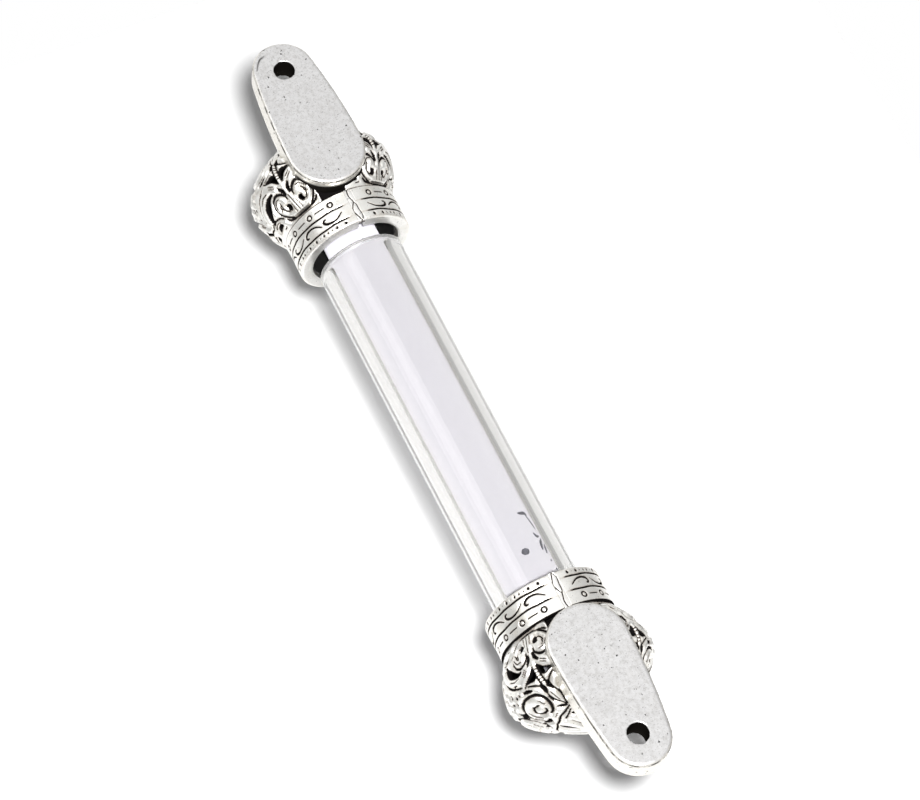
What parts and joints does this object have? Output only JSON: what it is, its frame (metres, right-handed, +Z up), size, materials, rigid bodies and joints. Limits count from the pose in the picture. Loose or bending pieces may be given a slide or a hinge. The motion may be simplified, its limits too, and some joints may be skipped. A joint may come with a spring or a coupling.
{
  "type": "mezuzah case",
  "caption": "Wall-mounted scroll case: a thick clear tube holding a rolled sheet between two cast openwork caps, each with a flat screw lug at its back.",
  "frame": {"origin": "in the wall plane that the lugs' backs lie in, midway between the two screw holes", "axes": "+Z up the tube, +Y out of the lugs' backs into the wall, +X completes a right-handed frame"},
  "size_m": [0.0252, 0.0254, 0.1426],
  "materials": {
    "silver": "antiqued bright cast silver plate, dark in its recesses",
    "silver_lug": "satin cast silver plate, finely pitted",
    "clear_acrylic": "clear polished",
    "paper": "smooth white sheet",
    "bush": "matt black"
  },
  "bodies": {
    "lower_cap": {"lower_collar": "silver", "lower_seam": "silver", "lower_crown": "silver", "lower_lug": "silver_lug"},
    "lower_bush": {"lower_seat": "bush"},
    "clear_tube": {"tube": "clear_acrylic"},
    "rolled_scroll": {"scroll": "paper"},
    "upper_bush": {"upper_seat": "bush"},
    "upper_cap": {"upper_collar": "silver", "upper_seam": "silver", "upper_crown": "silver", "upper_lug": "silver_lug"}
  },
  "joints": [
    {"name": "lower_cap_turn", "type": "hinge", "parent": "lower_cap", "child": "lower_bush", "pos_m": [0, -0.01265, 0], "axis": [0, 0, 1], "continuous": true},
    {"name": "tube_pull", "type": "slide", "parent": "lower_bush", "child": "clear_tube", "axis": [0, 0, 1], "range_m": [0, 0.02]},
    {"name": "scroll_slide", "type": "slide", "parent": "clear_tube", "child": "rolled_scroll", "axis": [0, 0, 1], "range_m": [0, 0.0015]},
    {"name": "upper_cap_pull", "type": "slide", "parent": "clear_tube", "child": "upper_bush", "axis": [0, 0, 1], "range_m": [-0.0072, 0.02]},
    {"name": "upper_cap_turn", "type": "hinge", "parent": "upper_bush", "child": "upper_cap", "pos_m": [0, -0.01265, 0], "axis": [0, 0, 1], "continuous": true}
  ]
}
